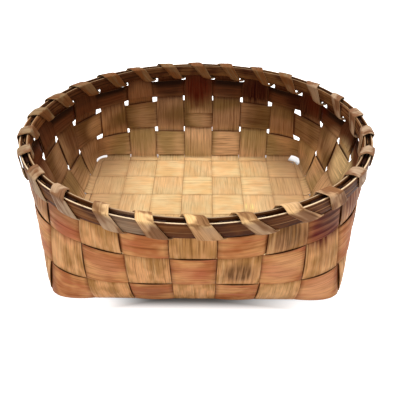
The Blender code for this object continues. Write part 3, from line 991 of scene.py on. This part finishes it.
# Painted shade with some grime on covered parts, stronger higher up the wall
SEAM_SHADE_SPAN = ("rise", 0.02, 0.2, 0.32, 0.88)
GRAIN_SPAN = (*FOOT_SPAN, 0.4, 1.0)
DARK_SPANS = (("broad", 0.50, 0.72), ("fibres", 0.52, 0.70))
PALE_SPAN = ("fibres", 0.48, 0.30)
PATCH_SPAN = ("patches", 0.38, 0.60)
RAGGED_SPAN = ("broad", 0.38, 0.58, 0.55, 1.0)
TOP_EDGE_SPANS = (("edge", 1.03, 1.13), ("depth", 0.02, -0.10, 0.12, 1.0), ("rise", 0.95, 0.97))
WORN_SPAN = ("worn", 0.35, 0.50, 0.3)

# Finishes: lowest and highest roughness and depth of the grain
SPLINT_FINISH = (0.42, 0.64, 0.00022)
HOOP_FINISH = (0.50, 0.68, 0.0005)
FILLER_FINISH = (0.5, 0.7, 0.00015)
LASH_FINISH = (0.42, 0.66, 0.0002)
ROUGH_SPAN = (0.3, 0.7)
FIBRE_HEIGHT_SHARE = 0.6

# Worn places, and stains: place round the basket, run, reach, strength and colour
WORN_MARK = (0.0647, 0.0153, 0.0015)
WORN_MARK_REACH = (0.002, 0.009)
WORN_MARK_SPAN = ("broad", 0.42, 0.56)
WORN_HOOP_PLACE = -1.3
WORN_HOOP_REACH = (0.008, 0.024)
WORN_HOOP_SHARE = 0.55
STAIN_CORE_SHARE = 0.35
OUTER_STAINS = (
    (-3.1, 0.118, 0.034, 0.55, WINE),
    (-4.2, 0.120, 0.034, 0.6, WINE),
    (-2.9, 0.098, 0.018, 0.5, ROSE),
    (3.0, 0.103, 0.030, 1.0, WINE),
    (3.3, 0.118, 0.034, 0.8, UMBER),
    (4.2, 0.108, 0.032, 0.8, WINE),
    (2.0, 0.108, 0.024, 0.75, UMBER),
    (1.0, 0.070, 0.021, 1.0, DARK_TAN),
    (1.0, 0.106, 0.022, 0.4, BRICK),
    (3.0, 0.030, 0.026, 0.8, ROSY_TAN),
    (2.0, 0.030, 0.024, 0.5, PALE_TAN),
    (2.0, 0.070, 0.024, 0.6, ROSY_TAN),
    (-2.0, 0.070, 0.022, 0.3, ROSY_TAN),
    (-1.0, 0.030, 0.022, 0.6, BRICK),
    (-1.0, 0.030, 0.022, 0.25, UMBER),
    (0.0, 0.070, 0.018, 0.55, ROSE),
    (0.0, 0.106, 0.020, 0.9, OLIVE_TAN),
    (3.1, 0.070, 0.016, 0.25, UMBER),
)
INNER_STAINS = (
    (13.0, 0.106, 0.026, 0.95, RED_BROWN),
    (13.0, 0.088, 0.020, 0.6, RED_BROWN),
    (11.0, 0.106, 0.026, 1.0, DARK_WINE),
    (9.4, 0.104, 0.028, 0.8, DARK_WINE),
    (12.0, 0.106, 0.022, 0.3, BLACK_BROWN),
    (14.0, 0.106, 0.022, 0.5, BLACK_BROWN),
    (-6.0, 0.092, 0.030, 0.5, RED_BROWN),
    (15.0, 0.102, 0.026, 0.9, TAIL_BROWN),
    (13.0, 0.066, 0.018, 0.5, ROW_BROWN),
    (14.0, 0.070, 0.024, 0.4, DEEP_BROWN),
    (11.0, 0.070, 0.024, 0.4, DEEP_BROWN),
    (15.0, 0.070, 0.022, 0.3, ROW_BROWN),
    (11.0, 0.030, 0.022, 0.7, ROW_OLIVE),
    (15.0, 0.030, 0.022, 0.8, ROW_OLIVE),
    (6.8, 0.078, 0.034, 0.9, PALE_GOLD),
    (7.6, 0.088, 0.022, 0.6, ROW_BROWN),
    (8.4, 0.044, 0.024, 0.7, PALE_TAN),
    (8.7, 0.116, 0.024, 0.9, RED_BROWN),
    (13.0, 0.028, 0.026, 0.5, ROW_BROWN),
    (16.6, 0.070, 0.022, 0.75, ROW_BROWN),
    (18.6, 0.070, 0.030, 0.4, ROW_BROWN),
    (17.9, 0.078, 0.018, 0.6, DEEP_BROWN),
)


class Wood:
    """Node tree of one wood material, with short calls for the nodes that it is made of."""

    def __init__(self, name):
        self.material = bpy.data.materials.new(name)
        self.material.use_nodes = True
        self.tree = self.material.node_tree
        self.shader = self.tree.nodes["Principled BSDF"]
        self.shader.inputs["IOR"].default_value = WOOD_IOR
        self.shader.inputs["Specular IOR Level"].default_value = WOOD_SHINE
        self.grain = self.node("ShaderNodeAttribute", attribute_name="grain").outputs["Vector"]
        self.place = self.node("ShaderNodeTexCoord").outputs["Object"]
        marks = self.node("ShaderNodeAttribute", attribute_name="marks")
        tone = self.node("ShaderNodeTexWhiteNoise", noise_dimensions="1D")
        grain_axes = self.node("ShaderNodeSeparateXYZ", self.grain).outputs
        self.link(grain_axes["Z"], tone.inputs["W"])
        parts = self.node("ShaderNodeSeparateColor", marks.outputs["Color"]).outputs
        axes = self.node("ShaderNodeSeparateXYZ", self.place).outputs
        self.sources = {
            "facing": parts["Red"],
            "edge": parts["Green"],
            "cover": parts["Blue"],
            "rise": marks.outputs["Alpha"],
            "tone": tone.outputs["Value"],
            "width": axes["X"],
            "depth": axes["Y"],
        }

    def node(self, kind, *sources, **settings):
        """New node with some of its settings, its first inputs fed by the sources."""
        made = self.tree.nodes.new(kind)
        for key, value in settings.items():
            setattr(made, key, value)
        for source, target in zip(sources, made.inputs):
            self.link(source, target)
        return made

    def link(self, source, target):
        """Feed one socket from another, or set it to a value."""
        if isinstance(source, bpy.types.NodeSocket):
            self.tree.links.new(source, target)
        else:
            target.default_value = source

    def source(self, name):
        """What a span reads; a noise is made when it is first read."""
        if name not in self.sources:
            self.sources[name] = self.streaks(*NOISES[name])
        return self.sources[name]

    def math(self, operation, first, *others):
        """Result of one kind of sum on some values, kept between zero and one."""
        for other in others:
            made = self.node("ShaderNodeMath", first, other, operation=operation, use_clamp=True)
            first = made.outputs[0]
        return first

    def range(self, value, low, high, start=0.0, end=1.0):
        """Value eased from one range to another."""
        limits = (low, high, start, end)
        made = self.node("ShaderNodeMapRange", value, *limits, interpolation_type="SMOOTHSTEP")
        return made.outputs[0]

    def span(self, name, *limits):
        """Share that a span has at each point."""
        return self.range(self.source(name), *limits)

    def mix(self, share, first, last):
        """Colour part of the way from one to another; the two fibre tints multiply it."""
        blend = "MULTIPLY" if last in (DARK_FIBRE, PALE_FIBRE) else "MIX"
        made = self.node("ShaderNodeMix", data_type="RGBA", blend_type=blend)
        self.link(share, made.inputs[0])
        self.link(first, made.inputs[MIX_FIRST])
        self.link(last, made.inputs[MIX_LAST])
        return made.outputs[MIX_RESULT]

    def wash(self, base, washes):
        """Lay washes of colour over a colour, one after another."""
        for tint, strength, *spans in washes:
            shares = [self.span(*limits) for limits in spans]
            base = self.mix(self.math("MULTIPLY", *shares, strength), base, tint)
        return base

    def streaks(self, along, across, detail):
        """Noise drawn out along the grain; along and across are its scales per metre."""
        scales = (along, across, 1.0)
        scaled = self.node("ShaderNodeVectorMath", self.grain, scales, operation="MULTIPLY")
        made = self.node("ShaderNodeTexNoise", scaled.outputs[0])
        self.link(1.0, made.inputs["Scale"])
        self.link(detail, made.inputs["Detail"])
        self.link(NOISE_ROUGHNESS, made.inputs["Roughness"])
        return made.outputs[0]

    def spot(self, centre, inner, outer):
        """One near a point of the basket, fading to zero at the outer distance."""
        away = self.node("ShaderNodeVectorMath", self.place, centre, operation="DISTANCE")
        return self.range(away.outputs["Value"], inner, outer, 1.0, 0.0)

    def finish(self, base, streaks, low_rough, high_rough, depth):
        """Connect the colour, and roughness and bump that follow the grain."""
        fibres = self.math("MULTIPLY", self.source("fibres"), FIBRE_HEIGHT_SHARE)
        height = self.math("MULTIPLY", self.source(streaks), 1 - FIBRE_HEIGHT_SHARE)
        bump = self.node("ShaderNodeBump")
        self.link(self.math("ADD", fibres, height), bump.inputs["Height"])
        self.link(depth, bump.inputs["Distance"])
        self.link(1.0, bump.inputs["Strength"])
        rough = self.span(streaks, *ROUGH_SPAN, low_rough, high_rough)
        self.link(base, self.shader.inputs["Base Color"])
        self.link(rough, self.shader.inputs["Roughness"])
        self.link(bump.outputs[0], self.shader.inputs["Normal"])
        return self.material


def age_wood(wood, base, dark_share, pale_share):
    """Darken and lighten the grain and bare the cut edges. Paint shade, with some grime, where a splint
    is covered; it turns to a black painted shadow under the hoops.
    """
    base = wood.wash(base, [(DARK_FIBRE, dark_share, span, GRAIN_SPAN) for span in DARK_SPANS])
    base = wood.wash(base, [(PALE_FIBRE, pale_share, PALE_SPAN), *EDGE_WASHES])
    # Painted shade: brown in the seams, black round the foot of the hoops
    seam_shade = wood.mix(wood.span(*HOOP_SHADOW_SPAN), SHADE_AND_GRIME, BLACK_BROWN)
    return wood.mix(wood.math("MULTIPLY", wood.source("cover"), wood.span(*SEAM_SHADE_SPAN)), base, seam_shade)


def inside_colour(wood, rim_shadow_share):
    """Golden on the floor of the basket, then darker row by row up to the rim, partly aged wood and
    partly painted shade, with a painted shadow just below the hoops.
    """
    patch = wood.span(*PATCH_SPAN)
    low_tone = wood.mix(patch, ROW_BROWN, ROW_OLIVE)
    mid_tone = wood.mix(patch, MID_BROWN, MID_OLIVE)
    base = wood.mix(wood.span(*FOOT_SPAN), wood.wash(PALE_GOLD, FLOOR_WASHES), low_tone)
    base = wood.mix(wood.span(*ROW_SPAN), base, mid_tone)
    return wood.wash(base, [*WALL_WASHES, (BLACK_BROWN, rim_shadow_share, RIM_SHADOW_SPAN)])


def stain(wood, base, stains):
    """Lay stains on a colour, strong in their core and ragged along the grain."""
    ragged = wood.span(*RAGGED_SPAN)
    for place, run, reach, strength, tint in stains:
        near = wood.spot(skin_point(place, run), STAIN_CORE_SHARE * reach, reach)
        base = wood.mix(wood.math("MULTIPLY", near, strength, ragged), base, tint)
    return base


def splint_wood(name, tint, washes, dark_share, pale_share, rim_shadow_share):
    """Splint: one colour with its washes and stains outside, and browns inside that darken up the wall,
    partly aged wood and partly painted shade.
    """
    wood = Wood(name)
    outer = stain(wood, wood.wash(tint, washes), OUTER_STAINS)
    inner = stain(wood, inside_colour(wood, rim_shadow_share), INNER_STAINS)
    near = wood.spot(WORN_MARK, *WORN_MARK_REACH)
    worn = wood.math("MULTIPLY", near, wood.span(*WORN_MARK_SPAN))
    inner = wood.mix(worn, inner, WORN_YELLOW)
    base = wood.mix(wood.source("facing"), inner, outer)
    return wood.finish(age_wood(wood, base, dark_share, pale_share), "broad", *SPLINT_FINISH)


def hoop_wood(name, worn_share):
    """Hoop: dark brown with lengthwise lines and a pale worn top edge in front."""
    wood = Wood(name)
    base = wood.wash(HOOP_BROWN, HOOP_WASHES)
    greyed = wood.spot(skin_point(WORN_HOOP_PLACE, HOOP_LOW), *WORN_HOOP_REACH)
    base = wood.mix(wood.math("MULTIPLY", greyed, WORN_HOOP_SHARE), base, LASH_GREY)
    base = age_wood(wood, base, dark_share=0.5, pale_share=0.5)
    base = wood.wash(base, [(HOOP_EDGE, 1.0, *TOP_EDGE_SPANS, (*WORN_SPAN, worn_share))])
    return wood.finish(base, "grooves", *HOOP_FINISH)


def filler_wood():
    """Hidden weaver of the rim, dark umber with black-brown blotches and a few pale strands."""
    wood = Wood("filler_dark_wood")
    base = age_wood(wood, wood.wash(UMBER, FILLER_WASHES), dark_share=0.4, pale_share=0.15)
    return wood.finish(base, "broad", *FILLER_FINISH)


def lashing_wood():
    """Lashing: tan in front, browner behind and greyer at the sides, with dark blotches and a painted
    highlight on the tops in front.
    """
    wood = Wood("lashing_worn_wood")
    base = age_wood(wood, wood.wash(LASH_TAN, LASH_WASHES), dark_share=0.6, pale_share=0.45)
    return wood.finish(base, "broad", *LASH_FINISH)


# Stage
FLOOR_RADIUS = 3.0
FLOOR_SIDES = 96
SKY_STRENGTH = 0.62
# Painted shadow colour of the floor in front of the base
SHADOW_GREY = (0.32, 0.32, 0.305, 1.0)
FLOOR_WHITE = (0.85, 0.85, 0.85, 1.0)

# Spans where the floor is clear of the shadow grey painted in front of the base, and spans clear of the
# real shadow round it, where the floor is lifted to white
CLEAR_FLOOR = (
    ("width", 0.015, 0.140),
    ("width", -0.035, -0.105),
    ("depth", -0.1235, -0.1385),
    ("depth", -0.110, -0.090),
)
OPEN_FLOOR = (
    ("width", 0.138, 0.172),
    ("width", -0.138, -0.172),
    ("depth", 0.120, 0.170),
    ("depth", -0.03, -0.05),
)

# Lamps: name, place, what it is aimed at, size and power
LAMPS = (
    ("top_lamp", (0.0, 0.12, 1.3), (0, 0, 0.05), 0.7, 13.0),
    ("front_lamp", (-0.2, -1.4, 0.6), (0, 0, 0.06), 0.8, 2.0),
)
CAMERA_PLACE = (0.0081, -0.3806, 0.3359)
CAMERA_DOWN_DEG = 39.29
CAMERA_LEFT_DEG = 0.63
CAMERA_LENS_MM = 38.24
CAMERA_SENSOR_MM = 36.0
CAMERA_NEAR = 0.01


def floor():
    """Pale floor that shows white to the camera and keeps the shadow, painted darker in front of the
    base.
    """
    mesh = bmesh.new()
    bmesh.ops.create_circle(mesh, cap_ends=True, segments=FLOOR_SIDES, radius=FLOOR_RADIUS)
    data = bpy.data.meshes.new("floor")
    mesh.to_mesh(data)
    mesh.free()
    data.materials.append(floor_material())
    plane = add_object("floor", data)


def floor_material():
    """White matte surface, lifted to full white for the camera but for the shadow round the base; in
    front of the base the shadow is also painted grey.
    """
    stage = Wood("floor_white")
    stage.shader.inputs["Roughness"].default_value = 1.0
    stage.shader.inputs["Specular IOR Level"].default_value = 0.0
    stage.shader.inputs["Emission Color"].default_value = (1, 1, 1, 1)
    clear = stage.math("MAXIMUM", *(stage.span(*limits) for limits in CLEAR_FLOOR))
    around = stage.math("MAXIMUM", *(stage.span(*limits) for limits in OPEN_FLOOR))
    lift = stage.math("MULTIPLY", clear, around, seen_directly(stage.tree))
    # Painted shadow: the floor's own colour turns grey in front of the base
    stage.link(stage.mix(clear, SHADOW_GREY, FLOOR_WHITE), stage.shader.inputs["Base Color"])
    stage.link(lift, stage.shader.inputs["Emission Strength"])
    return stage.material


def seen_directly(tree):
    """One for camera, mirror and glass rays, zero for light bounced off other things."""
    path = tree.nodes.new("ShaderNodeLightPath")
    total = path.outputs["Is Camera Ray"]
    for name in ("Is Glossy Ray", "Is Transmission Ray"):
        added = tree.nodes.new("ShaderNodeMath")
        added.operation = "MAXIMUM"
        tree.links.new(total, added.inputs[0])
        tree.links.new(path.outputs[name], added.inputs[1])
        total = added.outputs[0]
    return total


def sky():
    """White background that lights the basket softly from all round."""
    world = bpy.data.worlds.new("studio")
    bpy.context.scene.world = world
    world.use_nodes = True
    tree = world.node_tree
    background = tree.nodes["Background"]
    background.inputs["Color"].default_value = (1, 1, 1, 1)
    strength = tree.nodes.new("ShaderNodeMapRange")
    tree.links.new(seen_directly(tree), strength.inputs["Value"])
    strength.inputs["To Min"].default_value = SKY_STRENGTH
    strength.inputs["To Max"].default_value = 1.0
    tree.links.new(strength.outputs[0], background.inputs["Strength"])


def lights():
    """Square soft lamps: a large one overhead, a little to the back, and a weak one in front."""
    for name, place, target, size, watts in LAMPS:
        data = bpy.data.lights.new(name, "AREA")
        data.size = size
        data.energy = watts
        made = add_object(name, data)
        made.location = place
        made.rotation_euler = (Vector(target) - Vector(place)).to_track_quat("-Z", "Y").to_euler()


def camera():
    """Camera at the photograph's viewpoint."""
    data = bpy.data.cameras.new("camera")
    data.sensor_width = CAMERA_SENSOR_MM
    data.lens = CAMERA_LENS_MM
    data.clip_start = CAMERA_NEAR
    made = add_object("camera", data)
    made.location = CAMERA_PLACE
    made.rotation_euler = (math.radians(90 - CAMERA_DOWN_DEG), 0, math.radians(CAMERA_LEFT_DEG))
    bpy.context.scene.camera = made


def build():
    """Make all pieces and the stage."""
    stake_look = splint_wood("stake_wood", TAN, STAKE_WASHES,
                             dark_share=0.60, pale_share=0.60, rim_shadow_share=0.3)
    weaver_look = splint_wood("weaver_wood", ORANGE, WEAVER_WASHES,
                              dark_share=0.50, pale_share=0.55, rim_shadow_share=0.95)
    inner_look = hoop_wood("inner_hoop_wood", worn_share=0.35)
    outer_look = hoop_wood("outer_hoop_wood", worn_share=1.0)
    for number in range(CROSS_STAKES):
        cross_stake(number, stake_look)
    for number in range(LONG_STAKES):
        long_stake(number, stake_look)
    for row, node in enumerate(("foot_weaver", "lower_weaver", "middle_weaver", "upper_weaver")):
        weaver(node, row, weaver_look)
    weaver("rim_filler", len(ROWS) - 1, filler_wood())
    hoop("rim_hoop_inner", INNER_HOOP_SEED, INNER_HOOP_IN, inner_look)
    hoop("rim_hoop_outer", OUTER_HOOP_SEED, OUTER_HOOP_IN, outer_look)
    rim_lashing(lashing_wood())
    floor()
    sky()
    lights()
    camera()
    bpy.context.scene.view_settings.view_transform = "Standard"


build()
